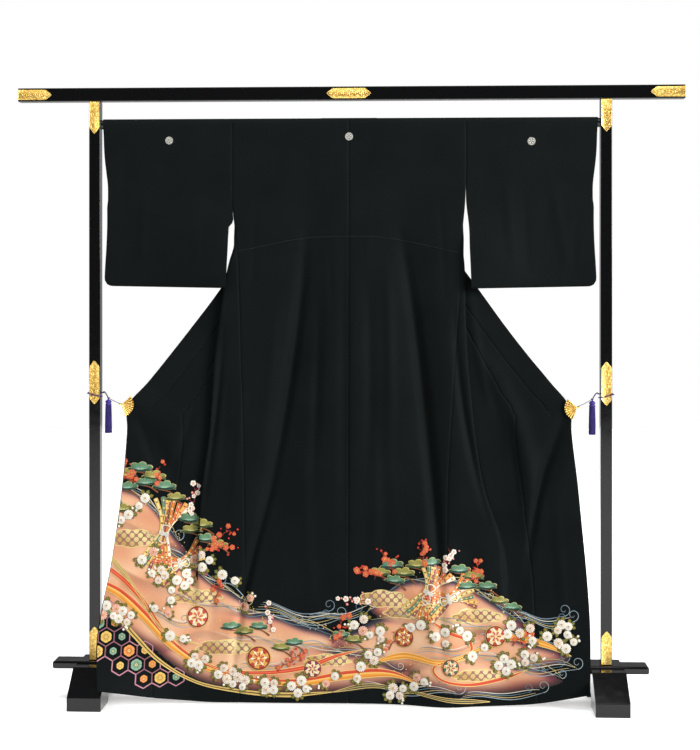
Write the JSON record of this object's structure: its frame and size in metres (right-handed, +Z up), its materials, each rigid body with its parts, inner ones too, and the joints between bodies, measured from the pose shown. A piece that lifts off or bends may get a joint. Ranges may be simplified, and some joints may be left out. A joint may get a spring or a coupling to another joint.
{
  "type": "tomesode kimono on display stand",
  "caption": "Formal black short-sleeved kimono spread open over the rail of a lacquered wooden kimono stand, its fronts drawn out by fan-shaped clips on tasselled cords.",
  "frame": {"origin": "on the floor, midway between the stand's feet, at the centre of the base of the whole part", "axes": "+X along the stand's top bar, towards the wearer's right; -Y towards the viewer, the way the garment's back faces; +Z up"},
  "size_m": [1.814, 0.31, 1.668],
  "materials": {
    "crepe": "matte black silk crepe with a bright painted and embroidered hem, lined in white silk",
    "lacquer": "wood in glossy black lacquer",
    "gilt": "chased gilt plate, satin",
    "silk_cord": "twisted purple silk",
    "lilac_cord": "thin lilac cord"
  },
  "bodies": {
    "root": {"body_left": "crepe", "body_right": "crepe", "overlap_left": "crepe", "overlap_right": "crepe", "collar": "crepe", "sleeve_left": "crepe", "sleeve_right": "crepe", "top_bar": "lacquer", "post_left": "lacquer", "post_right": "lacquer", "hanging_rail": "lacquer", "base_board": "lacquer", "foot_left": "lacquer", "foot_right": "lacquer", "plate_bar_left": "gilt", "plate_bar_middle": "gilt", "plate_bar_right": "gilt", "plate_left_top": "gilt", "plate_left_middle": "gilt", "plate_left_bottom": "gilt", "plate_right_top": "gilt", "plate_right_middle": "gilt", "plate_right_bottom": "gilt", "clip_jaw_left": "gilt", "clip_jaw_right": "gilt", "clip_fan_left": "gilt", "clip_fan_right": "gilt", "tie_left": "silk_cord", "tie_right": "silk_cord", "knot_left": "silk_cord", "knot_right": "silk_cord", "tassel_left": "silk_cord", "tassel_right": "silk_cord", "thread_left": "lilac_cord", "thread_right": "lilac_cord"}
  },
  "joints": []
}
